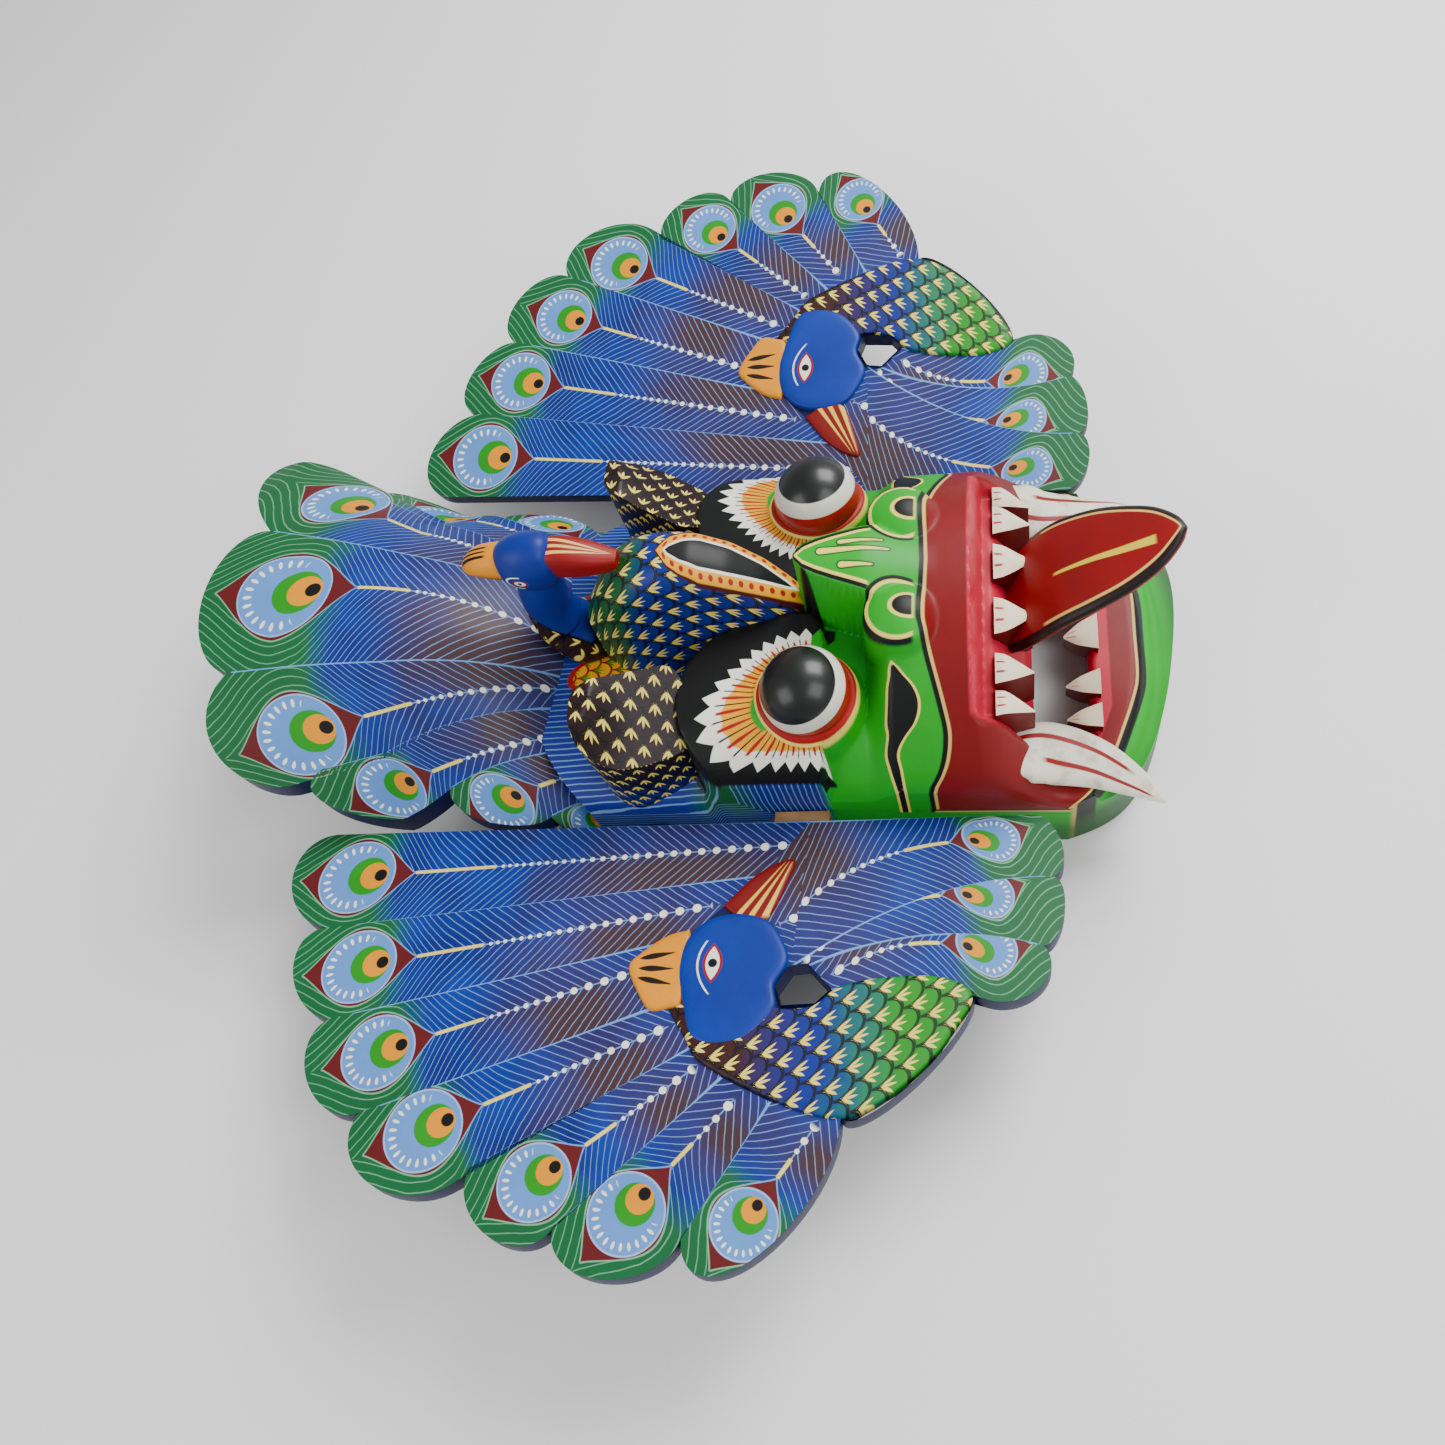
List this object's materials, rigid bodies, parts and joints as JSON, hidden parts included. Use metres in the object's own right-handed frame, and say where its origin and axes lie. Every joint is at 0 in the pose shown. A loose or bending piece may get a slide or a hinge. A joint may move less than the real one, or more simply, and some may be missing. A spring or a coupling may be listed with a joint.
{
  "type": "carved wooden mask",
  "caption": "Open-mouthed demon mask of carved wood with a crest bird, a vaulted feather fan and a lobed bird-shaped board at each side.",
  "frame": {"origin": "Centre of the footprint of the whole mask, on the plane of the flat back rim that it lies on", "axes": "+Z out of the face, +Y to the mask's own left along its greatest width, +X from the tip of the fan down to the chin"},
  "size_m": [0.4972, 0.6161, 0.155],
  "materials": {
    "head_paint": "satin paint",
    "left_panel_paint": "satin paint",
    "right_panel_paint": "satin paint"
  },
  "bodies": {
    "root": {"carved_head": "head_paint", "left_panel": "left_panel_paint", "right_panel": "right_panel_paint"}
  },
  "joints": []
}
